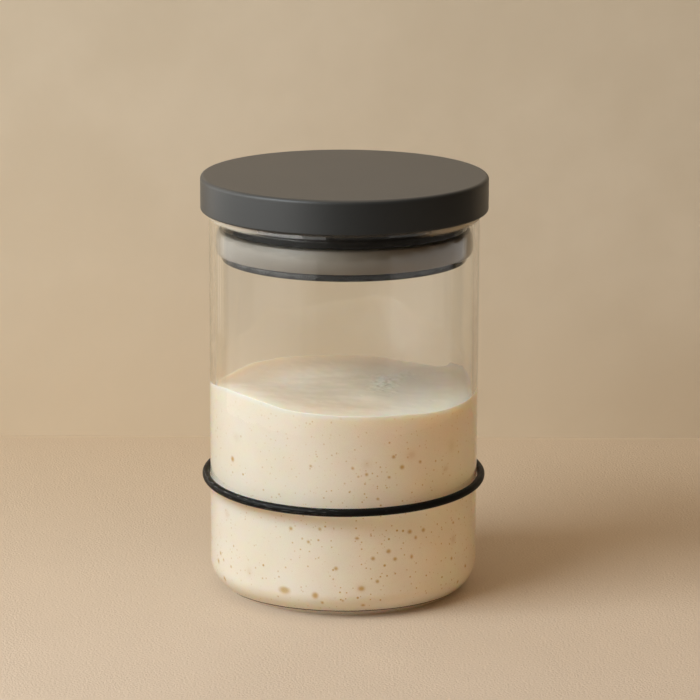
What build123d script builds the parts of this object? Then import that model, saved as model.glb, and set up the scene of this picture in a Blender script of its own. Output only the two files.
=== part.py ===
from build123d import *
import math
import os

# A straight-sided glass jar of sourdough starter, with a push-fit lid and a rubber level band.
# Millimetres, +Z up. The origin is the middle of the resting ring, on the surface that the jar
# stands on. The lid and the band are modelled where they sit in use.

# Driving dimensions of the glass
jar_diameter = 100.0
jar_height = 144.2
glass_wall = 2.2
base_thickness = 4.0
base_corner_radius = 11.5
corner_tightening = 5.0  # how much smaller the inside corner's radius is
resting_ring_width = 4.0
punt_depth = 1.2  # rise of the underside inside the resting ring
floor_crown = 0.6  # rise of the inside floor at its middle

# Driving dimensions of the starter and of the band that marks its level after feeding
fill_height = 77.6
band_height = 43.5
band_thickness = 2.9
band_width = 3.0
band_edge_radius = 1.4
band_dip = 1.3  # degrees that the band leans down towards the front

# Driving dimensions of the lid's outer cap
cap_overhang = 3.15  # how far the cap stands out past the glass all round
cap_height = 12.75
cap_wall = 2.4
cap_plate = 2.6
cap_top_edge_radius = 1.4
cap_bottom_edge_radius = 0.7
rib_count = 8
rib_thickness = 1.4
spigot_wall = 1.6
spigot_depth = 3.0  # how far the spigot ring reaches down into the plug's cup
snap_bead_radius = 0.45

# Driving dimensions of the plug under the cap
plug_depth = 18.05
plug_wall = 2.0
brim_thickness = 2.0
neck_setback = 0.8  # the neck's wall, in from the flanges' edge
lower_flange_height = 2.1
upper_flange_height = 2.7
groove_height = 9.9
groove_depth = 2.8
plug_edge_radius = 0.7
flange_edge_radius = 0.4

# Driving dimensions of the silicone seal
seal_height = 8.5
seal_top_setback = 1.25
seal_bottom_setback = 0.8
seal_edge_radius = 0.6

# Clearances between mating pieces
culture_film = 0.06  # the starter inside the glass
band_clearance = 0.12  # the band round the glass
rim_clearance = 0.15  # the lid's brim above the glass rim
flange_clearance = 2.4  # the plug's flanges inside the glass, the gap that the seal bridges
seal_clearance = 0.12  # the seal inside the glass
seal_seat_clearance = 0.05  # the seal round the groove's floor
brim_clearance = 0.1  # the brim, or the spigot, inside the wall that holds it
bead_clearance = 0.05  # the snap bead in the brim's groove

# The starter's uneven top: middle, spread and rise of each swell, as shares of the jar's inner
# radius and of the fill height. It climbs the glass at the left front and sinks at the right.
swell_shares = (
    (-0.80, -0.54, 0.52, 0.050),
    (0.80, -0.62, 0.54, -0.022),
    (0.99, 0.20, 0.25, 0.022),
    (0.62, 0.80, 0.36, -0.018),
    (0.20, -0.40, 0.20, 0.010),
    (0.38, 0.10, 0.18, 0.016),
    (0.52, 0.55, 0.20, 0.010),
    (-0.25, 0.15, 0.45, -0.006),
    (-0.94, 0.36, 0.34, -0.020),
    (0.0, 1.0, 0.5, -0.004),
)
surface_reach_share = 1.08  # half-width of the top's surface grid, against the inner radius
surface_steps = 18

# Sizes that follow
outer_radius = jar_diameter / 2
inner_radius = outer_radius - glass_wall
rim_radius = glass_wall / 2
inner_corner_radius = base_corner_radius - corner_tightening
ring_outer_radius = outer_radius - base_corner_radius
ring_inner_radius = ring_outer_radius - resting_ring_width

brim_bottom = jar_height + rim_clearance
brim_top = brim_bottom + brim_thickness
snap_height = brim_bottom + brim_thickness / 2
cap_top = brim_bottom + cap_height
cap_outer_radius = outer_radius + cap_overhang
cap_inner_radius = cap_outer_radius - cap_wall
brim_radius = cap_inner_radius - brim_clearance
plug_bottom = brim_bottom - plug_depth
groove_bottom = plug_bottom + lower_flange_height
groove_top = groove_bottom + groove_height
flange_radius = inner_radius - flange_clearance
neck_radius = flange_radius - neck_setback
groove_radius = flange_radius - groove_depth
cup_radius = groove_radius - plug_wall
spigot_radius = cup_radius - brim_clearance
seal_radius = inner_radius - seal_clearance

OUTWARD = (1, 0)


def turned(lines):
    """Turn a closed outline of the XZ half-plane round the upright axis."""
    return revolve(Plane.XZ * make_face(Curve() + lines), Axis.Z)


def turned_points(*points):
    """Turn a closed straight-sided outline round the upright axis."""
    return turned([Polyline(*points, points[0])])


def inside_of_glass(film, top):
    """The line of the glass's inside, from the middle of its floor up to a height."""
    radius = inner_radius - film
    corner = inner_corner_radius - film
    floor = base_thickness + film
    corner_start = (radius - corner, floor)
    corner_end = (radius, floor + corner)
    return [
        TangentArc((0, floor + floor_crown), corner_start, tangent=OUTWARD),
        TangentArc(corner_start, corner_end, tangent=OUTWARD),
        Line(corner_end, (radius, top)),
    ]


def make_glass_jar():
    """Blown glass: a punt inside a flat resting ring, a round base corner and a full-round rim."""
    rim_height = jar_height - rim_radius
    corner_start = (ring_outer_radius, 0)
    corner_end = (outer_radius, base_corner_radius)
    outside = [
        TangentArc((0, punt_depth), (ring_inner_radius, 0), tangent=OUTWARD),
        Line((ring_inner_radius, 0), corner_start),
        TangentArc(corner_start, corner_end, tangent=OUTWARD),
        Line(corner_end, (outer_radius, rim_height)),
        ThreePointArc(
            (outer_radius, rim_height),
            (outer_radius - rim_radius, jar_height),
            (inner_radius, rim_height),
        ),
    ]
    middle = Line((0, punt_depth), (0, base_thickness + floor_crown))
    return turned(outside + inside_of_glass(0, rim_height) + [middle])


def culture_height(x, y):
    """Height of the starter's top at a place in the jar."""
    rise = 0
    for x_share, y_share, spread_share, rise_share in swell_shares:
        away = math.hypot(x / inner_radius - x_share, y / inner_radius - y_share)
        rise += rise_share * math.exp(-((away / spread_share) ** 2))
    return fill_height * (1 + rise)


def make_starter_culture():
    """Risen starter: it fills the bottom of the jar up to an uneven, creeping top."""
    bottom = base_thickness + culture_film + floor_crown
    body = turned(
        inside_of_glass(culture_film, jar_height)
        + [Line((inner_radius - culture_film, jar_height), (0, jar_height)), Line((0, jar_height), (0, bottom))]
    )
    reach = inner_radius * surface_reach_share
    step = 2 * reach / surface_steps
    places = [step * index - reach for index in range(surface_steps + 1)]
    surface = Face.make_surface_from_array_of_points(
        [[(x, y, culture_height(x, y)) for x in places] for y in places]
    )
    return body - extrude(surface, amount=jar_height, dir=(0, 0, 1))


def make_level_band():
    """A rubber cord ring, stretched round the glass and pushed a little lower at the front."""
    middle_radius = outer_radius + band_clearance + band_thickness / 2
    section = Pos(middle_radius, 0) * RectangleRounded(band_thickness, band_width, band_edge_radius)
    return Pos(0, 0, band_height) * Rot(X=band_dip) * revolve(Plane.XZ * section, Axis.Z)


def make_lid_cap():
    """The moulded outer cap: a skirted plate with a spigot ring, ribs and a snap bead inside."""
    plate_bottom = cap_top - cap_plate
    outer = turned_points(
        (0, brim_bottom), (cap_outer_radius, brim_bottom), (cap_outer_radius, cap_top), (0, cap_top)
    )
    outer = fillet(outer.edges().group_by(Axis.Z)[-1], cap_top_edge_radius)
    outer = fillet(outer.edges().group_by(Axis.Z)[0], cap_bottom_edge_radius)
    hollow = turned_points(
        (0, brim_bottom), (cap_inner_radius, brim_bottom), (cap_inner_radius, plate_bottom), (0, plate_bottom)
    )
    spigot_inner_radius = spigot_radius - spigot_wall
    spigot_bottom = brim_top - spigot_depth
    spigot = turned_points(
        (spigot_inner_radius, spigot_bottom),
        (spigot_radius, spigot_bottom),
        (spigot_radius, plate_bottom),
        (spigot_inner_radius, plate_bottom),
    )
    rib_start = spigot_radius - spigot_wall / 2
    rib_length = cap_inner_radius + cap_wall / 2 - rib_start
    rib = Box(
        rib_length,
        rib_thickness,
        plate_bottom - brim_top,
        align=(Align.MIN, Align.CENTER, Align.MIN),
    )
    ribs = [Pos(0, 0, brim_top) * place * rib for place in PolarLocations(rib_start, rib_count)]
    bead = Pos(0, 0, snap_height) * Torus(cap_inner_radius, snap_bead_radius)
    return outer - hollow + [spigot, bead, *ribs]


def make_lid_plug():
    """The moulded inner half: a brimmed cup with a groove for the seal round its outside."""
    upper_flange_top = groove_top + upper_flange_height
    body = turned_points(
        (0, plug_bottom),
        (flange_radius, plug_bottom),
        (flange_radius, groove_bottom),
        (groove_radius, groove_bottom),
        (groove_radius, groove_top),
        (flange_radius, groove_top),
        (flange_radius, upper_flange_top),
        (neck_radius, upper_flange_top),
        (neck_radius, brim_bottom),
        (brim_radius, brim_bottom),
        (brim_radius, brim_top),
        (cup_radius, brim_top),
        (cup_radius, plug_bottom + plug_wall),
        (0, plug_bottom + plug_wall),
    )
    body = fillet(body.edges().group_by(Axis.Z)[0], plug_edge_radius)
    step_edges = body.edges().filter_by_position(
        Axis.Z, upper_flange_top - flange_edge_radius, upper_flange_top + flange_edge_radius
    )
    body = fillet(step_edges.sort_by(SortBy.RADIUS)[-1], flange_edge_radius)
    snap_groove = Torus(cap_inner_radius, snap_bead_radius + bead_clearance)
    return body - Pos(0, 0, snap_height) * snap_groove


def make_seal_ring():
    """The silicone ring: a bulging outer face that wipes the glass, seated in the plug's groove."""
    seat_radius = groove_radius + seal_seat_clearance
    bottom = groove_bottom + (groove_height - seal_height) / 2
    top = bottom + seal_height
    seat_bottom = (seat_radius, bottom)
    seat_top = (seat_radius, top)
    face_bottom = (seal_radius - seal_bottom_setback, bottom)
    face_top = (seal_radius - seal_top_setback, top)
    bulge = ThreePointArc(face_bottom, (seal_radius, bottom + seal_height / 2), face_top)
    ring = turned([Line(seat_top, seat_bottom), Line(seat_bottom, face_bottom), bulge, Line(face_top, seat_top)])
    edges = ring.edges().filter_by(GeomType.CIRCLE).sort_by(SortBy.RADIUS)[-2:]
    return fillet(edges, seal_edge_radius)


makers = {
    "glass_jar": make_glass_jar,
    "starter_culture": make_starter_culture,
    "level_band": make_level_band,
    "lid_cap": make_lid_cap,
    "lid_plug": make_lid_plug,
    "seal_ring": make_seal_ring,
}

os.makedirs("parts", exist_ok=True)
for node, make in makers.items():
    export_step(make(), f"parts/{node}.step")
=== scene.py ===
import math
import random

import bmesh
import bpy
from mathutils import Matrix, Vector, noise


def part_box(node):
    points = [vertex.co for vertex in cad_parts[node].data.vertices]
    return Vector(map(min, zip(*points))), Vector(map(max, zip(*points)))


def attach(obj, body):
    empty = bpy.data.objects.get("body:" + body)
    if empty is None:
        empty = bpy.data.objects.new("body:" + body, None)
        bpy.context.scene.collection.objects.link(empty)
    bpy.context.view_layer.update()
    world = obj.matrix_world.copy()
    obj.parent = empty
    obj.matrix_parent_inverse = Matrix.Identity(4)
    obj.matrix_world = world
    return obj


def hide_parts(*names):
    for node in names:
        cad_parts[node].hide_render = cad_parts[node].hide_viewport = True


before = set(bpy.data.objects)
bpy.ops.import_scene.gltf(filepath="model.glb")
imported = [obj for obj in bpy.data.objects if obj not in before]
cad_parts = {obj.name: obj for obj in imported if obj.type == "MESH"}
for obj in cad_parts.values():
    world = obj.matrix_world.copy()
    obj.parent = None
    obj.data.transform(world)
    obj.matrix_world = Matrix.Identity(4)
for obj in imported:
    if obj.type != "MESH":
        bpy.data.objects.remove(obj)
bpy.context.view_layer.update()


# The glass jar: one piece of clear borosilicate tube, blown to a round base corner with a
# shallow punt inside its flat resting ring, and fire-polished to a full-round rim.

def round_size(node):
    """Radius, bottom and top of a round CAD node, in metres."""
    low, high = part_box(node)
    return max(high.x, -low.x, high.y, -low.y), low.z, high.z


glass_radius, _, glass_top = round_size("glass_jar")
glass_wall = 0.0022
glass_inner_radius = glass_radius - glass_wall
base_thickness = 0.004
base_corner = 0.0115
inner_corner = 0.0065
ring_width = 0.004
punt_depth = 0.0012
floor_crown = 0.0006
ring_outer = glass_radius - base_corner
ring_inner = ring_outer - ring_width
rim_radius = glass_wall / 2
rim_height = glass_top - rim_radius
floor_radius = glass_inner_radius - inner_corner
shading_edge = 0.0008  # a ring of points close to each bend keeps the long wall's shading flat
glass_index = 1.47
glass_tint = (0.985, 0.99, 0.98, 1)
draw_line_stretch = (1.0, 1.0, 0.04)  # the tube's draw lines run along it
# painted highlight: a pale diffuse band on the fire-polished rim, towards both sides, stands in
# for light caught in the rim
rim_glint_colour = (0.95, 0.84, 0.66, 1)
rim_glint_share = 0.75
rim_glint_from, rim_glint_full = rim_height - 0.0019, rim_height - 0.0005
rim_glint_inner, rim_glint_outer = 0.024, 0.041


class Shade:
    """A value, colour, vector or shader: one output socket, used in sums like a number."""

    def __init__(self, tree, socket=None):
        self.tree = tree
        self.socket = socket

    def node(self, kind, settings, values, output=0):
        """Add a node, set it up, fill or link its inputs, and hand on one of its outputs."""
        node = self.tree.nodes.new(kind)
        for name, value in settings.items():
            setattr(node, name, value)
        for name, value in values.items():
            if isinstance(value, Shade):
                self.tree.links.new(value.socket, node.inputs[name])
            else:
                node.inputs[name].default_value = value
        return Shade(self.tree, node.outputs[output])

    def maths(self, operation, *values):
        return self.node("ShaderNodeMath", {"operation": operation}, dict(enumerate(values)))

    def __add__(self, other):
        return self.maths("ADD", self, other)

    def __sub__(self, other):
        return self.maths("SUBTRACT", self, other)

    def __rsub__(self, other):
        return self.maths("SUBTRACT", other, self)

    def __mul__(self, other):
        return self.maths("MULTIPLY", self, other)

    __radd__ = __add__
    __rmul__ = __mul__

    def at_least(self, other):
        """The larger of this value and another."""
        return self.maths("MAXIMUM", self, other)

    def smooth(self, start, end):
        """Rise smoothly from 0 at start to 1 at end, or fall if end is the smaller."""
        values = {"Value": self, "From Min": min(start, end), "From Max": max(start, end)}
        if end < start:
            values.update({"To Min": 1.0, "To Max": 0.0})
        return self.node("ShaderNodeMapRange", {"interpolation_type": "SMOOTHSTEP"}, values)

    def mix(self, start_colour, end_colour):
        """Go from one colour to another as this value goes from 0 to 1."""
        values = {0: self, 6: start_colour, 7: end_colour}
        return self.node("ShaderNodeMix", {"data_type": "RGBA"}, values, output=2)

    def mix_shaders(self, start_shader, end_shader):
        """Go from one shader to another as this value goes from 0 to 1."""
        return self.node("ShaderNodeMixShader", {}, {0: self, 1: start_shader, 2: end_shader})

    def vector(self, operation, other, output=0):
        """Vector Math on this vector and another."""
        settings = {"operation": operation}
        return self.node("ShaderNodeVectorMath", settings, {0: self, 1: other}, output)

    def part(self, axis):
        """The X, Y or Z part of this vector."""
        return self.node("ShaderNodeSeparateXYZ", {}, {0: self}, output=axis)

    def noise(self, scale, detail=2.0, roughness=0.5):
        """Cloudy noise at this place."""
        values = {"Vector": self, "Scale": scale, "Detail": detail, "Roughness": roughness}
        return self.node("ShaderNodeTexNoise", {}, values)

    def bump(self, strength, distance):
        """A surface normal that this value pushes in and out."""
        values = {"Height": self, "Strength": strength, "Distance": distance}
        return self.node("ShaderNodeBump", {}, values)


def new_finish(name, fixed):
    """A material with one Principled shader, and the values that stay the same all over it."""
    material = bpy.data.materials.new(name)
    material.use_nodes = True
    tree = material.node_tree
    shader = tree.nodes["Principled BSDF"]
    for socket, value in fixed.items():
        shader.inputs[socket].default_value = value
    place = Shade(tree).node("ShaderNodeTexCoord", {}, {}, output="Object")
    return material, shader, place


def feed(shader, socket, shade):
    """Link what changes over the surface to one of the shader's sockets."""
    shade.tree.links.new(shade.socket, shader.inputs[socket])


def arc(middle, radius, start, end, steps=12):
    """Points of a profile along part of a circle, between two angles in degrees."""
    angles = [math.radians(start + (end - start) * step / steps) for step in range(steps + 1)]
    x, height = middle
    return [(x + radius * math.cos(angle), height + radius * math.sin(angle)) for angle in angles]


def dome(radius, edge_height, rise, steps=8):
    """Profile of a shallow dome from its middle out to its edge."""
    shares = [step / steps for step in range(steps + 1)]
    return [(radius * share, edge_height + rise * (1 - share**2)) for share in shares]


on_axis = 1e-7


def turned(profile, segments=288, closed=False):
    """A bmesh of a profile of (distance from the axis, height) turned once round."""
    made = bmesh.new()
    rings = []
    for distance, height in profile:
        if distance < on_axis:
            rings.append([made.verts.new((0, 0, height))])
            continue
        ring = []
        for segment in range(segments):
            angle = math.tau * segment / segments
            x, y = distance * math.sin(angle), -distance * math.cos(angle)
            ring.append(made.verts.new((x, y, height)))
        rings.append(ring)
    pairs = list(zip(rings, rings[1:]))
    if closed:
        pairs.append((rings[-1], rings[0]))
    for lower, upper in pairs:
        for here in range(segments):
            after = (here + 1) % segments
            corners = [lower[here % len(lower)], lower[after % len(lower)]]
            corners += [upper[after % len(upper)], upper[here % len(upper)]]
            made.faces.new(list(dict.fromkeys(corners)))
    return made


def finish_mesh(name, made, material, body, node):
    """Make a smooth object of a bmesh with its finish, put it in its body, and hide the CAD node
    it stands in for.
    """
    bmesh.ops.recalc_face_normals(made, faces=made.faces[:])
    mesh = bpy.data.meshes.new(name)
    made.to_mesh(mesh)
    made.free()
    mesh.polygons.foreach_set("use_smooth", [True] * len(mesh.polygons))
    mesh.materials.append(material)
    piece = bpy.data.objects.new(name, mesh)
    bpy.context.scene.collection.objects.link(piece)
    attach(piece, body)
    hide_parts(node)


outside = dome(ring_inner, 0, punt_depth)
outside += arc((ring_outer, base_corner), base_corner, -90, 0)
outside += [(glass_radius, base_corner + shading_edge), (glass_radius, rim_height - shading_edge)]
outside += arc((glass_radius - rim_radius, rim_height), rim_radius, 0, 180)
inside = dome(floor_radius, base_thickness, floor_crown)
inside += arc((floor_radius, base_thickness + inner_corner), inner_corner, -90, 0)[1:]
inside += [(glass_inner_radius, base_thickness + inner_corner + shading_edge)]
inside += [(glass_inner_radius, rim_height - shading_edge)]

glass_finish, glass_shader, glass_place = new_finish(
    "clear_glass",
    {"Base Color": glass_tint, "Roughness": 0.0, "IOR": glass_index, "Transmission Weight": 1.0},
)
draw_lines = glass_place.vector("MULTIPLY", draw_line_stretch).noise(scale=70.0, detail=1.0)
feed(glass_shader, "Normal", draw_lines.bump(strength=0.003, distance=0.001))
# the rim's painted highlight, strongest towards both sides
rim_x = glass_place.part("X")
rim_glint_mask = glass_place.part("Z").smooth(rim_glint_from, rim_glint_full)
rim_glint_mask = rim_glint_mask * rim_x.maths("ABSOLUTE", rim_x).smooth(rim_glint_inner, rim_glint_outer)
rim_glint = glass_place.node(
    "ShaderNodeBsdfPrincipled", {}, {"Base Color": rim_glint_colour, "Roughness": 0.4, "IOR": glass_index}
)
glass_tree = glass_finish.node_tree
glass_seen = Shade(glass_tree, glass_shader.outputs[0])
glass_seen = (rim_glint_share * rim_glint_mask).mix_shaders(glass_seen, rim_glint)
# lamps and bounced light pass straight through the clear wall, onto what it holds
unseen = glass_place.node("ShaderNodeBsdfTransparent", {}, {})
for ray in ("Is Diffuse Ray", "Is Shadow Ray"):
    passing = glass_place.node("ShaderNodeLightPath", {}, {}, output=ray)
    glass_seen = passing.mix_shaders(glass_seen, unseen)
glass_tree.links.new(glass_seen.socket, glass_tree.nodes["Material Output"].inputs["Surface"])
finish_mesh(
    "glass_jar_shell", turned(outside + inside[::-1]), glass_finish,
    "jar", "glass_jar",
)


# The starter: risen wet dough that fills the jar to an uneven top. It clings to the glass, so
# bubbles show flat against the wall, and its soft, slack top turns up a little at the glass.

fill_height = 0.0776
glass_grip = 0.00006  # the dough wets the glass, so its face lies a hair inside the wall
culture_radius = glass_inner_radius + glass_grip
culture_corner = inner_corner + glass_grip
corner_height = base_thickness + inner_corner
foot = base_thickness - glass_grip
foot_width = 0.0014  # how far in from the glass the top turns up
foot_rise = 0.0001
climb_rise = 0.0030  # it still sticks to the glass higher up at the right back
grip_lobes = ((113, 10, 1.0), (236, 26, 0.22))  # azimuth, spread and share of the climb
grip_raggedness = 0.5
grip_roughness = 11
edge_depth = 0.0026  # the wetter rim below the edge; its paler, cooler tone is partly its wet tone and partly painted highlight where the meniscus catches light
top_rings = 110
ring_crowding = 0.62  # the top's rings of points lie closer towards the glass
edge_rows = 12
side_rows = 170
culture_segments = 720

# middle (x, y), spread and rise of each swell, as shares of the radius and of the fill height
swell_shares = (
    (-0.80, -0.54, 0.52, 0.050),
    (0.80, -0.62, 0.54, -0.022),
    (0.99, 0.20, 0.25, 0.022),
    (0.62, 0.80, 0.36, -0.018),
    (0.20, -0.40, 0.20, 0.010),
    (0.38, 0.10, 0.18, 0.016),
    (0.52, 0.55, 0.20, 0.010),
    (-0.25, 0.15, 0.45, -0.006),
    (-0.94, 0.36, 0.34, -0.020),
    (0.0, 1.0, 0.5, -0.004),
)
wave_rise, wave_length = 0.00032, 0.013
ripple_rise, ripple_length = 0.00010, 0.0042
ripple_shift = Vector((7, 2, 0))
bubble_relief = 0.12  # the bubbles have been pressed nearly flat against the glass
bubble_reach = 1.2  # how far a bubble's tan halo goes, where 1 is its edge
bubble_fade = 1.25
deep_falloff = 1.6
# azimuth in degrees, height, width, tallness and depth of the large bubbles against the glass
wall_bubbles = [
    (-26, 0.0106, 0.0050, 0.0030, 0.0008),
    (-12, 0.0099, 0.0027, 0.0026, 0.0006),
    (-9, 0.0073, 0.0013, 0.0012, 0.0003),
    (8, 0.0127, 0.0026, 0.0020, 0.0002),
    (9, 0.0063, 0.0018, 0.0011, 0.0002),
    (0, 0.0083, 0.0010, 0.0009, 0.0002),
    (15, 0.0151, 0.0015, 0.0015, 0.0004),
    (-3, 0.0204, 0.0017, 0.0016, 0.0004),
    (-23, 0.0344, 0.0016, 0.0016, 0.0004),
    (-15, 0.0300, 0.0014, 0.0014, 0.0003),
    (-10, 0.0351, 0.0013, 0.0013, 0.0003),
    (6, 0.0318, 0.0017, 0.0012, 0.0003),
    (20, 0.0262, 0.0019, 0.0018, 0.0004),
    (13, 0.0239, 0.0017, 0.0016, 0.0004),
    (23, 0.0230, 0.0017, 0.0016, 0.0004),
    (31, 0.0230, 0.0013, 0.0018, 0.0004),
    (30, 0.0326, 0.0020, 0.0018, 0.0005),
    (37, 0.0323, 0.0017, 0.0018, 0.0004),
    (33, 0.0300, 0.0013, 0.0016, 0.0004),
    (26, 0.0574, 0.0020, 0.0018, 0.0005),
    (22, 0.0616, 0.0016, 0.0015, 0.0004),
    (35, 0.0584, 0.0013, 0.0013, 0.0003),
    (10, 0.0557, 0.0014, 0.0014, 0.0003),
    (4, 0.0582, 0.0012, 0.0012, 0.0003),
    (20, 0.0541, 0.0013, 0.0012, 0.0003),
    (15, 0.0463, 0.0012, 0.0012, 0.0003),
    (-14, 0.0586, 0.0011, 0.0011, 0.0003),
]
# azimuth, height, width, tallness and strength of the bubbles a little way behind the glass,
# painted as soft patches of shade
deep_bubbles = [
    (30.5, 0.0615, 0.0042, 0.0040, 0.50),
    (10, 0.0595, 0.0040, 0.0040, 0.35),
    (8, 0.0128, 0.0042, 0.0036, 0.60),
    (54, 0.0614, 0.0054, 0.0060, 0.35),
    (50, 0.0535, 0.0033, 0.0027, 0.55),
    (56, 0.0254, 0.0038, 0.0044, 0.55),
    (-53, 0.0645, 0.0054, 0.0044, 0.25),
    (-61, 0.0338, 0.0040, 0.0040, 0.35),
    (-45, 0.0147, 0.0036, 0.0042, 0.35),
]
# more of the large bubbles, spread by chance over the sides and the back
chance_bubbles = 60
chance_azimuths = (52, 305)
chance_widths = (0.0011, 0.0022)
chance_low, chance_rise = 0.008, 0.062
chance_crowding = 1.5  # above 1 they crowd towards the bottom
chance_tallness = (0.8, 1.15)
chance_depth = 0.25
random.seed(11)
for _ in range(chance_bubbles):
    width = random.uniform(*chance_widths)
    azimuth = random.uniform(*chance_azimuths)
    height = chance_low + chance_rise * random.random() ** chance_crowding
    tallness = width * random.uniform(*chance_tallness)
    wall_bubbles.append((azimuth, height, width, tallness, width * chance_depth))
# place, reach and rise of the small lumps and pits where the crust has broken, on the top's right
ridge_middle = (0.0175, 0.005, 0.0)
ridge_half_run = (0.0065, 0.0165)
ridge_scatter = (0.0022, 0.0030)
lump_count = 95
lump_reaches = (0.0005, 0.0013)
lump_steepness = (0.15, 0.42)
lump_falloff = 2.2
lump_limit = 1.6  # a lump raises nothing further out than this many of its reaches
hole_depth = 0.00045
holes = ((0.0105, 0.0140, 0.0013), (0.0125, 0.0035, 0.0012), (0.0135, 0.0150, 0.0011),
         (0.0325, -0.0190, 0.0010))
pit_count = 26
pit_reaches = (0.0005, 0.0011)
pit_depth = 0.00018
pits_radius = culture_radius * 0.9
crust_lumps = []
for _ in range(lump_count):
    along = random.uniform(-1, 1)
    x = ridge_middle[0] + ridge_half_run[0] * along + random.gauss(0, ridge_scatter[0])
    y = ridge_middle[1] + ridge_half_run[1] * along + random.gauss(0, ridge_scatter[1])
    reach = random.uniform(*lump_reaches)
    crust_lumps.append((x, y, reach, reach * random.uniform(*lump_steepness)))
crust_lumps += [(*hole, -hole_depth) for hole in holes]
for _ in range(pit_count):
    out = pits_radius * math.sqrt(random.random())
    angle = random.uniform(0, math.tau)
    reach = random.uniform(*pit_reaches)
    crust_lumps.append((out * math.sin(angle), -out * math.cos(angle), reach, -pit_depth))


def top_height(x, y):
    """Height of the starter's top, away from the glass."""
    share_x, share_y = x / glass_inner_radius, y / glass_inner_radius
    rise = 0.0
    for middle_x, middle_y, spread, height in swell_shares:
        away = math.hypot(share_x - middle_x, share_y - middle_y) / spread
        rise += height * math.exp(-away * away)
    place = Vector((x, y, 0))
    waves = wave_rise * noise.noise(place / wave_length)
    ripples = ripple_rise * noise.noise(place / ripple_length + ripple_shift)
    level = fill_height * (1 + rise) + (waves + ripples)
    for lump_x, lump_y, reach, height in crust_lumps:
        if max(abs(x - lump_x), abs(y - lump_y)) < reach * lump_limit:
            away = math.hypot(x - lump_x, y - lump_y) / reach
            level += height * math.exp(-lump_falloff * away * away)
    return level


def grip_height(azimuth):
    """How far the dough turns up at the glass, at an azimuth in radians."""
    turn = math.degrees(azimuth)
    climb = 0.0
    for middle, spread, share in grip_lobes:
        climb += share * math.exp(-(((turn - middle) / spread) ** 2))
    round_place = grip_roughness * Vector((math.sin(azimuth), math.cos(azimuth), 0.4))
    ragged = 1 + grip_raggedness * noise.noise(round_place)
    return foot_rise + climb_rise * climb * ragged


def off_middle(azimuth, height, spot):
    """How far a point of the side is from a bubble's middle, where 1 is the bubble's edge."""
    spot_azimuth, spot_height, width, tallness, _ = spot
    turn = (math.degrees(azimuth) - spot_azimuth + 180) % 360 - 180
    across = math.radians(turn) * culture_radius
    return math.hypot(across / (width / 2), (height - spot_height) / (tallness / 2))


def side_place(azimuth, height):
    """A point of the starter's side, with how much of a near and of a deep bubble it lies in."""
    distance = culture_radius
    if height < corner_height:
        drop = min((corner_height - height) / culture_corner, 1.0)
        distance = floor_radius + culture_corner * math.sqrt(1 - drop * drop)
    push = 0.0
    near = 0.0
    for spot in wall_bubbles:
        away = off_middle(azimuth, height, spot)
        if away < bubble_reach:
            depth = bubble_relief * spot[-1]
            push = max(push, depth * max(0.0, 1 - away * away))
            near = max(near, min(1.0, bubble_fade * (bubble_reach - away)))
    deep = 0.0
    for spot in deep_bubbles:
        away = off_middle(azimuth, height, spot)
        deep = max(deep, spot[-1] * math.exp(-deep_falloff * away * away))
    distance -= push
    return (distance * math.sin(azimuth), -distance * math.cos(azimuth), height), near, deep


culture = bmesh.new()
edge_layer = culture.verts.layers.float.new("edge_share")
bubble_layer = culture.verts.layers.float.new("bubble_share")
deep_layer = culture.verts.layers.float.new("deep_share")
azimuths = [math.tau * segment / culture_segments for segment in range(culture_segments)]
centre = culture.verts.new((0, 0, top_height(0, 0)))
top_grid = []
for ring in range(1, top_rings + 1):
    share = ring / top_rings
    share = share + ring_crowding * share**3 * (1 - share)
    distance = culture_radius * share
    foot_share = math.exp(-(culture_radius - distance) / foot_width)
    row = []
    for azimuth in azimuths:
        x, y = distance * math.sin(azimuth), -distance * math.cos(azimuth)
        height = top_height(x, y) + grip_height(azimuth) * foot_share
        vertex = culture.verts.new((x, y, height))
        vertex[edge_layer] = foot_share
        row.append(vertex)
    top_grid.append(row)

side_grid = [top_grid[-1]]
for row_index in range(1, side_rows + 1):
    lower_share = (row_index - edge_rows) / (side_rows - edge_rows)
    row = []
    for azimuth, edge_vertex in zip(azimuths, top_grid[-1]):
        edge_height = edge_vertex.co.z
        drop = edge_depth * row_index / edge_rows
        if row_index > edge_rows:
            drop = edge_depth + (edge_height - foot - edge_depth) * lower_share
        place, near, deep = side_place(azimuth, max(edge_height - drop, foot))
        vertex = culture.verts.new(place)
        vertex[edge_layer] = max(0.0, 1 - drop / edge_depth)
        vertex[bubble_layer] = near
        vertex[deep_layer] = deep
        row.append(vertex)
    side_grid.append(row)
floor_middle = culture.verts.new((0, 0, base_thickness + floor_crown - glass_grip))
for upper, lower in list(zip(top_grid, top_grid[1:])) + list(zip(side_grid, side_grid[1:])):
    for here in range(culture_segments):
        after = (here + 1) % culture_segments
        culture.faces.new((upper[here], lower[here], lower[after], upper[after]))
for here in range(culture_segments):
    after = (here + 1) % culture_segments
    culture.faces.new((centre, top_grid[0][here], top_grid[0][after]))
    culture.faces.new((floor_middle, side_grid[-1][after], side_grid[-1][here]))

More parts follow.
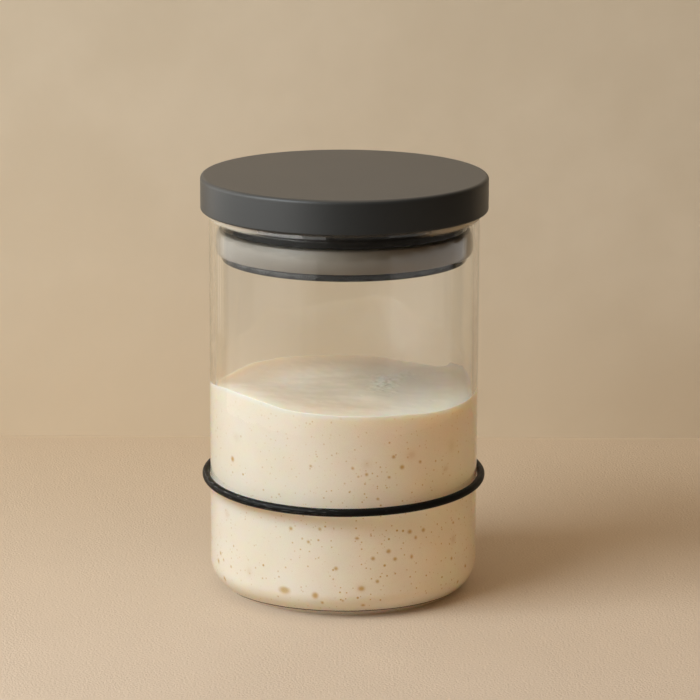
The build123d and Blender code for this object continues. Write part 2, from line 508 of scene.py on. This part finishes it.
dough_pale = (0.82, 0.755, 0.65, 1)
dough_warm = (0.79, 0.715, 0.59, 1)
wet_edge_and_highlight = (0.80, 0.75, 0.675, 1)
bubble_shade_tan = (0.55, 0.35, 0.11, 1)
deep_shade_and_grain_tan = (0.62, 0.48, 0.31, 1)
skin_pale = (0.95, 0.77, 0.59, 1)
skin_painted_light = (0.99, 0.885, 0.755, 1)
skin_grey = (0.87, 0.70, 0.51, 1)
skin_shade_tan = (0.70, 0.52, 0.34, 1)
crust_highlight = (0.97, 0.86, 0.71, 1)
crust_slot_shade = (0.55, 0.41, 0.25, 1)
skin_from, skin_full = 0.35, 0.8  # how far a face has to look up to belong to the top
crowd_left, crowd_right = -0.03, 0.012
crowd_high, crowd_low = 0.075, 0.03
streak_stretch = (0.45, 1.0, 1.0)  # the skin's streaks lie from left to right
shade_band_sway = 0.016  # how far the streaks shift the dried band's inner edge
shade_band_from, shade_band_full = 0.020, 0.040
shade_band_lean = (-0.40, 0.9, 0.0)  # the way from the pale front right to the painted shade at the back left
shade_band_near, shade_band_far = -0.006, 0.020
shade_band_right, shade_band_left = 0.012, -0.020
across_run = (0.93, -0.37, 0.0)  # directions across and along the ridge of broken crust
along_run = (0.37, 0.93, 0.0)
across_falloff, along_falloff = 15000.0, 2800.0
painted_light_from, painted_light_full = 0.004, 0.026
soaked_sway = 0.004
soaked_from, soaked_full = 0.036, 0.0475
soaked_back, soaked_front = 0.004, -0.020
dough_finish, dough_shader, dough_place = new_finish(
    "starter_dough",
    {"Subsurface Weight": 0.85, "Subsurface Radius": (1.0, 0.55, 0.27),
     "Subsurface Scale": 0.013, "IOR": 1.38},
)


def painted(place, name):
    """A share that the mesh carries from point to point."""
    settings = {"attribute_type": "GEOMETRY", "attribute_name": name}
    return place.node("ShaderNodeAttribute", settings, {}, output="Fac")


def bubble_specks(place, cell, radius, seed, soft):
    """Round spots where small bubbles touch the surface, of a size that varies."""
    scale = 1 / cell
    shifted = place.vector("ADD", (seed, seed * 2, seed * 3))
    values = {"Vector": shifted, "Scale": scale, "Randomness": 1.0}
    distance = place.node("ShaderNodeTexVoronoi", {}, values, output="Distance")
    colour = place.node("ShaderNodeTexVoronoi", {}, values, output="Color")
    size = place.node("ShaderNodeSeparateColor", {}, {"Color": colour}, output=0)
    reach = (0.35 + 0.65 * size) * (radius * scale)
    return (reach - distance).smooth(0.0, radius * scale * soft)


edge_share = painted(dough_place, "edge_share")
bubble_share = painted(dough_place, "bubble_share")
deep_share = painted(dough_place, "deep_share")
dough_x = dough_place.part("X")
dough_z = dough_place.part("Z")
facing = dough_place.node("ShaderNodeNewGeometry", {}, {}, output="Normal")
top_side = facing.part("Z").smooth(skin_from, skin_full)
patches = dough_place.noise(scale=45.0, detail=3.0)

# bubbles crowd towards the right and the lower half
crowd = dough_place.noise(scale=75.0).smooth(0.18, 0.42)
crowd = crowd * (0.62 + 0.38 * dough_x.smooth(crowd_left, crowd_right))
crowd = crowd * (0.65 + 0.35 * dough_z.smooth(crowd_high, crowd_low))
fine = bubble_specks(dough_place, cell=0.0018, radius=0.00044, seed=0.013, soft=0.5)
small = bubble_specks(dough_place, cell=0.0028, radius=0.00060, seed=0.031, soft=0.5)
medium = bubble_specks(dough_place, cell=0.0072, radius=0.00070, seed=0.057, soft=0.6)
specks = (0.85 * fine * crowd).at_least(small * crowd).at_least(0.95 * medium)
specks = specks.at_least(bubble_share * (0.65 + 0.6 * patches))
grain = dough_place.noise(scale=2400.0, detail=1.0)
body_colour = patches.smooth(0.3, 0.75).mix(dough_pale, dough_warm)
# painted shade: soft tan patches over the bubbles behind the glass, with a little random tan
# grain
body_colour = (deep_share + 0.16 * grain.smooth(0.5, 0.75) * crowd).mix(body_colour, deep_shade_and_grain_tan)
# the wet rim below the edge, painted paler: partly its own wet tone, partly painted highlight of
# the meniscus
body_colour = edge_share.smooth(0.1, 0.8).mix(body_colour, wet_edge_and_highlight)
# painted shade: the bubbles' hollows against the glass are painted tan
side_colour = (specks * (1 - top_side) * (1 - edge_share)).mix(body_colour, bubble_shade_tan)

streaks = dough_place.vector("MULTIPLY", streak_stretch)
streaks = streaks.noise(scale=170.0, detail=4.0, roughness=0.6)
skin_colour = streaks.smooth(0.38, 0.62).mix(skin_grey, skin_pale)
# painted shade: the skin is painted darker in a ragged band along the left and the back of the
# top
from_axis = dough_place.vector("MULTIPLY", (1.0, 1.0, 0.0))
from_axis = from_axis.vector("LENGTH", (0, 0, 0), output="Value")
to_back = dough_place.vector("DOT_PRODUCT", shade_band_lean, output="Value")
shade_band = (from_axis + shade_band_sway * (streaks - 0.5)).smooth(shade_band_from, shade_band_full)
shade_band = shade_band * to_back.smooth(shade_band_near, shade_band_far)
shade_band = shade_band * (0.5 + 0.5 * dough_x.smooth(shade_band_right, shade_band_left))
skin_colour = shade_band.mix(skin_colour, skin_shade_tan)
# a low ridge of broken crust runs across the right of the top, with painted highlight on its
# lumps and painted shade in its slots
from_ridge = dough_place.vector("SUBTRACT", ridge_middle)
across = from_ridge.vector("DOT_PRODUCT", across_run, output="Value")
along = from_ridge.vector("DOT_PRODUCT", along_run, output="Value")
ridge = (across * across * across_falloff + along * along * along_falloff).smooth(1.0, 0.2)
broken = dough_place.noise(scale=620.0, detail=3.0, roughness=0.6)
skin_colour = (ridge * broken.smooth(0.42, 0.56)).mix(skin_colour, crust_highlight)
skin_colour = (0.75 * ridge * broken.smooth(0.42, 0.33)).mix(skin_colour, crust_slot_shade)
# painted light: the top is painted paler towards its right
painted_light_right = 0.65 * dough_x.smooth(painted_light_from, painted_light_full)
skin_colour = painted_light_right.mix(skin_colour, skin_painted_light)
# light that soaks in through the glass makes the top paler towards its front edge
soaked = (from_axis + soaked_sway * (streaks - 0.5)).smooth(soaked_from, soaked_full)
soaked = soaked * dough_place.part("Y").smooth(soaked_back, soaked_front)
skin_colour = (0.6 * soaked).mix(skin_colour, skin_painted_light)

crumb = dough_place.noise(scale=1400.0)
relief = 0.4 * streaks * top_side + 0.8 * ridge * top_side * broken
relief = relief + 0.06 * crumb - 0.12 * specks
feed(dough_shader, "Base Color", top_side.mix(side_colour, skin_colour))
feed(dough_shader, "Roughness", 0.6 - 0.15 * top_side)
feed(dough_shader, "Normal", relief.bump(strength=0.35, distance=0.0004))
finish_mesh("starter_dough", culture, dough_finish, "jar", "starter_culture")


# The level band: a ring of round black rubber cord, stretched round the glass to mark the
# starter's level after feeding. It holds by its own grip, pushed a little lower at the front.

band_outer, band_bottom, band_top = round_size("level_band")
band_middle = (band_top + band_bottom) / 2
band_half_thickness = 0.00145
band_half_width = 0.0015
band_reach = band_outer - band_half_thickness
band_unevenness = 0.01
band_lumps = 6.0
band_dip = math.radians(1.3)
band_segments = 480
band_sides = 36
band = bmesh.new()
hoops = []
for segment in range(band_segments):
    azimuth = math.tau * segment / band_segments
    round_place = Vector((math.sin(azimuth), -math.cos(azimuth), 0))
    swelling = 1 - band_unevenness + band_unevenness * noise.noise(round_place * band_lumps)
    hoop = []
    for side in range(band_sides):
        turn = math.tau * side / band_sides
        out = band_half_thickness * swelling * math.cos(turn)
        up = band_half_width * swelling * math.sin(turn)
        place = round_place * (band_reach + out)
        leaning_y = place.y * math.cos(band_dip) - up * math.sin(band_dip)
        leaning_z = place.y * math.sin(band_dip) + up * math.cos(band_dip)
        hoop.append(band.verts.new((place.x, leaning_y, band_middle + leaning_z)))
    hoops.append(hoop)
for hoop, following in zip(hoops, hoops[1:] + hoops[:1]):
    for side in range(band_sides):
        beside = (side + 1) % band_sides
        band.faces.new((hoop[side], following[side], following[beside], hoop[beside]))

rubber_black = (0.004, 0.004, 0.004, 1)
rubber_dust = (0.016, 0.016, 0.016, 1)
rubber_painted_sheen = (0.085, 0.083, 0.080, 1)
flow_stretch = (1.0, 1.0, 9.0)  # flow lines and the painted sheen streaks run round the cord
sheen_stretch = (1.0, 1.0, 14.0)
sheen_from, sheen_full = 0.004, -0.012  # the painted sheen streaks lie on the left of the front, which faces the window
rubber_finish, rubber_shader, rubber_place = new_finish(
    "black_rubber", {"Specular IOR Level": 0.07}
)
flow_lines = rubber_place.vector("MULTIPLY", flow_stretch).noise(scale=260.0, detail=3.0)
dust = rubber_place.noise(scale=900.0).smooth(0.6, 0.75)
# painted sheen: pale streaks along the cord on the left of the front
sheen_streaks = rubber_place.vector("MULTIPLY", sheen_stretch)
sheen_streaks = sheen_streaks.noise(scale=190.0, detail=3.0, roughness=0.6).smooth(0.55, 0.66)
sheen_streaks = sheen_streaks * rubber_place.part("X").smooth(sheen_from, sheen_full)
rubber_colour = sheen_streaks.mix((0.5 * dust).mix(rubber_black, rubber_dust), rubber_painted_sheen)
feed(rubber_shader, "Base Color", rubber_colour)
feed(rubber_shader, "Roughness", 0.26 + 0.3 * flow_lines)
feed(rubber_shader, "Normal", flow_lines.bump(strength=0.5, distance=0.0002))
finish_mesh("level_band_ring", band, rubber_finish, "band", "level_band")


# The plug: the lid's glossy inner half, moulded as a brimmed cup. Its brim closes the cap from
# below and rests on the glass rim, and a groove between two flanges holds the seal.

brim_radius, plug_bottom, brim_top = round_size("lid_plug")
brim_thickness = 0.002
brim_bottom = brim_top - brim_thickness
flange_gap = 0.0024
neck_setback = 0.0008
groove_depth = 0.0028
flange_radius = glass_inner_radius - flange_gap
neck_radius = flange_radius - neck_setback
groove_radius = flange_radius - groove_depth
lower_flange = 0.0021
groove_height = 0.0099
upper_flange = 0.0027
plug_wall = 0.002
cup_radius = groove_radius - plug_wall
cup_floor = plug_bottom + plug_wall
groove_bottom = plug_bottom + lower_flange
groove_top = groove_bottom + groove_height
neck_bottom = groove_top + upper_flange
bottom_edge = 0.0007
flange_edge = 0.0004
small_edge = 0.00022


def softened(corners, steps=6, support=0.00004):
    """A closed profile of (distance, height, edge radius), with its corners rounded."""
    rounded = []
    for index, (distance, height, radius) in enumerate(corners):
        corner = Vector((distance, height))
        if radius == 0:
            rounded.append(tuple(corner))
            continue
        before = Vector(corners[index - 1][:2]) - corner
        after = Vector(corners[(index + 1) % len(corners)][:2]) - corner
        half = before.angle(after) / 2
        before.normalize()
        after.normalize()
        cut = radius / math.tan(half)
        start = corner + before * cut
        end = corner + after * cut
        middle = corner + (before + after).normalized() * (radius / math.sin(half))
        first = math.atan2(start.y - middle.y, start.x - middle.x)
        turn = math.atan2(end.y - middle.y, end.x - middle.x) - first
        turn = (turn + math.pi) % math.tau - math.pi
        rounded.append(tuple(start + before * support))
        for step in range(steps + 1):
            angle = first + turn * step / steps
            spoke = (radius * math.cos(angle), radius * math.sin(angle))
            rounded.append((middle.x + spoke[0], middle.y + spoke[1]))
        rounded.append(tuple(end + after * support))
    return rounded


plug_corners = [
    (0, plug_bottom, 0),
    (flange_radius, plug_bottom, bottom_edge),
    (flange_radius, groove_bottom, small_edge),
    (groove_radius, groove_bottom, small_edge),
    (groove_radius, groove_top, small_edge),
    (flange_radius, groove_top, small_edge),
    (flange_radius, neck_bottom, flange_edge),
    (neck_radius, neck_bottom, small_edge),
    (neck_radius, brim_bottom, small_edge),
    (brim_radius, brim_bottom, small_edge),
    (brim_radius, brim_top, small_edge),
    (cup_radius, brim_top, small_edge),
    (cup_radius, cup_floor, small_edge),
    (0, cup_floor, 0),
]
plug_dark = (0.006, 0.006, 0.006, 1)
plug_grey = (0.010, 0.010, 0.010, 1)
plug_finish, plug_shader, plug_place = new_finish("gloss_dark_plastic", {"IOR": 1.5})
plug_mottle = plug_place.noise(scale=60.0)
feed(plug_shader, "Base Color", plug_mottle.mix(plug_dark, plug_grey))
feed(plug_shader, "Roughness", 0.05 + 0.06 * plug_mottle)
feed(plug_shader, "Normal", plug_place.noise(scale=500.0).bump(strength=0.02, distance=0.0001))
finish_mesh(
    "lid_plug_cup", turned(softened(plug_corners)), plug_finish,
    "lid", "lid_plug",
)


# The seal: a ring of translucent grey silicone that sits in the plug's groove. Its bulging face
# wipes the inside of the glass and holds the lid.

seal_radius, seal_bottom, seal_top = round_size("seal_ring")
seal_middle = (seal_bottom + seal_top) / 2
seal_edge = 0.0006
bottom_setback = 0.0008
top_setback = 0.00125
seat_gap = 0.00005
face_bottom = seal_radius - bottom_setback
face_top = seal_radius - top_setback
seat_radius = groove_radius + seat_gap


def bulge(lower, crest, upper, steps=14):
    """Profile of a bowed face through its lower edge, its crest and its upper edge."""
    points = []
    for step in range(steps + 1):
        share = step / steps
        point = (1 - share) * (1 - 2 * share) * Vector(lower)
        point += 4 * share * (1 - share) * Vector(crest)
        point += share * (2 * share - 1) * Vector(upper)
        points.append(tuple(point))
    return points


seal_face = bulge((face_bottom, seal_bottom), (seal_radius, seal_middle), (face_top, seal_top))
seal_corners = [(seat_radius, seal_bottom, 0), (*seal_face[0], seal_edge)]
seal_corners += [(*point, 0) for point in seal_face[1:-1]]
seal_corners += [(*seal_face[-1], seal_edge), (seat_radius, seal_top, 0)]
seal_grey = (0.325, 0.272, 0.210, 1)
seal_pale = (0.370, 0.313, 0.245, 1)
seal_finish, seal_shader, seal_place = new_finish(
    "grey_silicone",
    {"IOR": 1.41, "Specular IOR Level": 0.2, "Transmission Weight": 0.45},
)
seal_mottle = seal_place.noise(scale=90.0, detail=3.0)
feed(seal_shader, "Base Color", seal_mottle.mix(seal_grey, seal_pale))
feed(seal_shader, "Roughness", 0.38 + 0.10 * seal_mottle)
feed(seal_shader, "Normal", seal_place.noise(scale=700.0).bump(strength=0.08, distance=0.0002))
finish_mesh(
    "seal_silicone", turned(softened(seal_corners), closed=True), seal_finish,
    "lid", "seal_ring",
)


# The cap: the lid's outer half, a skirted disc moulded in grey plastic with a fine matte,
# soft-feeling texture. It snaps over the plug's brim.

cap_radius, _, cap_top = round_size("lid_cap")
cap_wall = 0.0024
cap_plate = 0.0026
cap_inner = cap_radius - cap_wall
cap_underside = cap_top - cap_plate
cap_top_edge = 0.0014
cap_bottom_edge = 0.0007
cap_corners = [
    (0, cap_top, 0),
    (cap_radius, cap_top, cap_top_edge),
    (cap_radius, brim_bottom, cap_bottom_edge),
    (cap_inner, brim_bottom, small_edge),
    (cap_inner, cap_underside, small_edge),
    (0, cap_underside, 0),
]
cap_grey = (0.027, 0.028, 0.028, 1)
cap_worn = (0.034, 0.035, 0.035, 1)
cap_top_painted_light = (0.073, 0.069, 0.066, 1)
cap_finish, cap_shader, cap_place = new_finish("matte_grey_plastic", {"Specular IOR Level": 0.26})
cap_cloud = cap_place.noise(scale=22.0, detail=4.0)
cap_grain = cap_place.noise(scale=2600.0)
# painted light: the top is painted paler than the sides, as if lit from above
lit_top_share = cap_place.node("ShaderNodeNewGeometry", {}, {}, output="Normal").part("Z")
lit_top_share = lit_top_share.smooth(0.55, 0.98) * (0.75 + 0.4 * cap_cloud)
cap_colour = lit_top_share.mix((0.6 * cap_cloud).mix(cap_grey, cap_worn), cap_top_painted_light)
feed(cap_shader, "Base Color", cap_colour)
feed(cap_shader, "Roughness", 0.35 + 0.08 * cap_cloud)
feed(cap_shader, "Normal", cap_grain.bump(strength=0.25, distance=0.00012))
finish_mesh(
    "lid_cap_shell", turned(softened(cap_corners)), cap_finish,
    "lid", "lid_cap",
)


# The table and a plain plastered backdrop board, both pale beige. The board lets a view from
# behind pass through it.

def flat_sheet(name, corners, material):
    """One flat face of the set."""
    mesh = bpy.data.meshes.new(name)
    mesh.from_pydata(corners, [], [(0, 1, 2, 3)])
    mesh.materials.append(material)
    sheet = bpy.data.objects.new(name, mesh)
    bpy.context.scene.collection.objects.link(sheet)


table_reach = 3.0
table_colour = (0.575, 0.452, 0.342, 1)
table_pale = (0.635, 0.503, 0.385, 1)
table_back_shade = (0.518, 0.400, 0.280, 1)
table_shade = (0.045, 0.036, 0.028, 1)
back_from, back_full = -0.16, 0.22
lit_shift = (0.05, -0.05, 0.0)  # the pale round is centred a little behind the jar, to its left
shade_from, shade_full = 0.27, 0.60
table_finish, table_shader, table_place = new_finish("table_top", {"Roughness": 0.75})
table_grain = table_place.noise(scale=1100.0)
table_cloud = table_place.noise(scale=11.0, detail=3.0).smooth(0.3, 0.7)
table_light = 0.45 * table_cloud + 0.55 * table_grain.smooth(0.3, 0.7)
table_light = table_light.mix(table_colour, table_pale)
# painted shade: the table darkens towards the backdrop
table_light = table_place.part("Y").smooth(back_from, back_full).mix(table_light, table_back_shade)
# the table turns dark well outside the picture, so the jar's upright faces mirror little
from_lit = table_place.vector("ADD", lit_shift).vector("LENGTH", (0, 0, 0), output="Value")
table_light = from_lit.smooth(shade_from, shade_full).mix(table_light, table_shade)
feed(table_shader, "Base Color", table_light)
feed(table_shader, "Normal", table_grain.bump(strength=0.6, distance=0.0005))
flat_sheet(
    "table_top",
    [(-table_reach, -table_reach, 0), (table_reach, -table_reach, 0),
     (table_reach, table_reach, 0), (-table_reach, table_reach, 0)],
    table_finish,
)

board_back = 0.214
board_side = 0.40
board_height = 0.40
board_foot_height = 0.10
board_colour = (0.674, 0.552, 0.402, 1)
board_pale = (0.718, 0.594, 0.442, 1)
board_foot_shade = (0.664, 0.536, 0.382, 1)
board_finish, board_shader, board_place = new_finish("backdrop", {"Roughness": 0.9})
trowelled = board_place.noise(scale=16.0, detail=4.0, roughness=0.55)
board_light = trowelled.smooth(0.3, 0.7).mix(board_colour, board_pale)
# painted shade: the board darkens towards its foot, where it meets the table
board_light = board_place.part("Z").smooth(board_foot_height, 0.0).mix(board_light, board_foot_shade)
feed(board_shader, "Base Color", board_light)
feed(board_shader, "Normal", trowelled.bump(strength=0.25, distance=0.004))
board_tree = board_finish.node_tree
from_behind = board_place.node("ShaderNodeNewGeometry", {}, {}, output="Backfacing")
board_seen = from_behind.mix_shaders(
    Shade(board_tree, board_shader.outputs[0]),
    board_place.node("ShaderNodeBsdfTransparent", {}, {}),
)
board_tree.links.new(board_seen.socket, board_tree.nodes["Material Output"].inputs["Surface"])
flat_sheet(
    "backdrop",
    [(-board_side, board_back, 0), (board_side, board_back, 0),
     (board_side, board_back, board_height), (-board_side, board_back, board_height)],
    board_finish,
)


# The room beyond the set: warm and dim as light, pale beige where it is seen or shows through
# the glass, and darker towards the right where it is mirrored.

room_glow = (1.0, 0.72, 0.42, 1)
room_strength = 0.155
wall_beige = (0.55, 0.46, 0.35, 1)
wall_dim = (0.10, 0.085, 0.070, 1)
dim_from, dim_full = -0.4, 0.5
world = bpy.data.worlds.new("room")
world.use_nodes = True
bpy.context.scene.world = world
room_tree = world.node_tree
background = room_tree.nodes["Background"]
background.inputs["Color"].default_value = room_glow
background.inputs["Strength"].default_value = room_strength
room_light = Shade(room_tree, background.outputs[0])
room_wall = room_light.node("ShaderNodeBackground", {}, {"Color": wall_beige})
to_right = room_light.node("ShaderNodeTexCoord", {}, {}, output="Generated").part("X")
mirrored_wall = to_right.smooth(dim_from, dim_full).mix(wall_beige, wall_dim)
room_mirrored = room_light.node("ShaderNodeBackground", {}, {"Color": mirrored_wall})
for ray, wall in (
    ("Is Camera Ray", room_wall),
    ("Is Transmission Ray", room_wall),
    ("Is Glossy Ray", room_mirrored),
):
    seen = room_light.node("ShaderNodeLightPath", {}, {}, output=ray)
    room_light = seen.mix_shaders(room_light, wall)
room_tree.links.new(room_light.socket, room_tree.nodes["World Output"].inputs["Surface"])


# The lamps: a large soft window at the left, a weak warm ceiling, and a small warm bounce that
# reaches the starter's lower right.

def soft_lamp(name, place, aim, width, height, power, colour):
    """A soft studio lamp with a rectangular face."""
    data = bpy.data.lights.new(name, "AREA")
    data.shape = "RECTANGLE"
    data.size = width
    data.size_y = height
    data.energy = power
    data.color = colour
    lamp = bpy.data.objects.new(name, data)
    lamp.location = place
    lamp.rotation_mode = "QUATERNION"
    lamp.rotation_quaternion = (Vector(aim) - Vector(place)).to_track_quat("-Z", "Y")
    lamp.visible_camera = False
    bpy.context.scene.collection.objects.link(lamp)
    return lamp


jar_middle = (0, 0, 0.08)
bounce_aim = (0, 0, 0.045)
soft_lamp(
    "window_left", (-1.351, -0.812, 1.311), jar_middle,
    width=1.35, height=1.0, power=45, colour=(0.80, 0.90, 0.96),
)
soft_lamp(
    "ceiling", (0.05, -0.15, 1.25), jar_middle,
    width=0.9, height=0.9, power=4.0, colour=(1.0, 0.78, 0.54),
)
bounce = soft_lamp(
    "bounce_right", (0.32, -0.26, 0.065), bounce_aim,
    width=0.12, height=0.06, power=0.0075, colour=(1.0, 0.64, 0.24),
)
bounce.data.spread = math.radians(30)
bounce.visible_glossy = False
bounce.visible_transmission = False

# pale cards in an arc round the jar, which show only in its glossy faces: low ones for the
# glass, high ones for the cap, and thin ones for the seal and for two streaks on the glass
card_distance = 0.31
card_white = (0.98, 0.96, 0.92)
seal_start, seal_step = -121, 20
seal_glows = (0.85, 0.8, 0.75, 0.7, 0.65, 0.3, 0.3, 0.3, 0.35, 0.4, 0.45, 0.7)
seal_spans = [
    (seal_start + seal_step * place, seal_start + seal_step * (place + 1), glow)
    for place, glow in enumerate(seal_glows)
]
# name, lower and upper edge, and each card's first and last azimuth in degrees and its glow
for group, low, high, spans in (
    ("low", 0.0, 0.081, [
        (-112, -96, 0.40), (-96, -72, 0.55), (-72, -48, 0.55), (-48, -34, 0.45),
        (-34, -22, 0.20), (37, 55, 0.30), (55, 76, 0.35), (76, 98, 0.30),
    ]),
    ("high", 0.090, 0.38, [
        (-125, -103, 2.5), (-103, -81, 3.1), (-81, -59, 4.4), (-59, -32, 4.4), (-32, -14, 1.5),
    ]),
    ("seal", 0.0705, 0.0795, seal_spans),
    ("streak", 0.034, 0.078, [(-127.5, -125.5, 0.6), (-118.5, -117, 0.4)]),
):
    middle_height = (low + high) / 2
    for number, (start, end, glow) in enumerate(spans, 1):
        angle = math.radians((start + end) / 2)
        x, y = card_distance * math.sin(angle), -card_distance * math.cos(angle)
        width = 2 * card_distance * math.tan(math.radians(end - start) / 2)
        power = glow * math.pi * width * (high - low)
        card = soft_lamp(
            f"card_{group}_{number}", (x, y, middle_height), (0, 0, middle_height),
            width, high - low, power, card_white,
        )
        card.visible_diffuse = False


# The camera: a long lens in front of the jar and a little above it, set to frame the object as
# in the reference picture.

camera_distance = 1.23
camera_pitch = math.radians(13.42)
camera_roll = math.radians(0.228)
aim = Vector((0.00225, 0, 0.0905))
focal_pixels = 3300
picture_pixels = 700
camera_data = bpy.data.cameras.new("camera")
camera_data.sensor_width = 36
camera_data.lens = focal_pixels / picture_pixels * camera_data.sensor_width
camera = bpy.data.objects.new("camera", camera_data)
camera_way = Vector((0, -math.cos(camera_pitch), math.sin(camera_pitch)))
camera.location = aim + camera_distance * camera_way
camera.rotation_euler = (math.pi / 2 - camera_pitch, 0, 0)
camera.rotation_euler.rotate_axis("Z", camera_roll)
bpy.context.scene.collection.objects.link(camera)
bpy.context.scene.camera = camera
bpy.context.scene.view_settings.view_transform = "Standard"
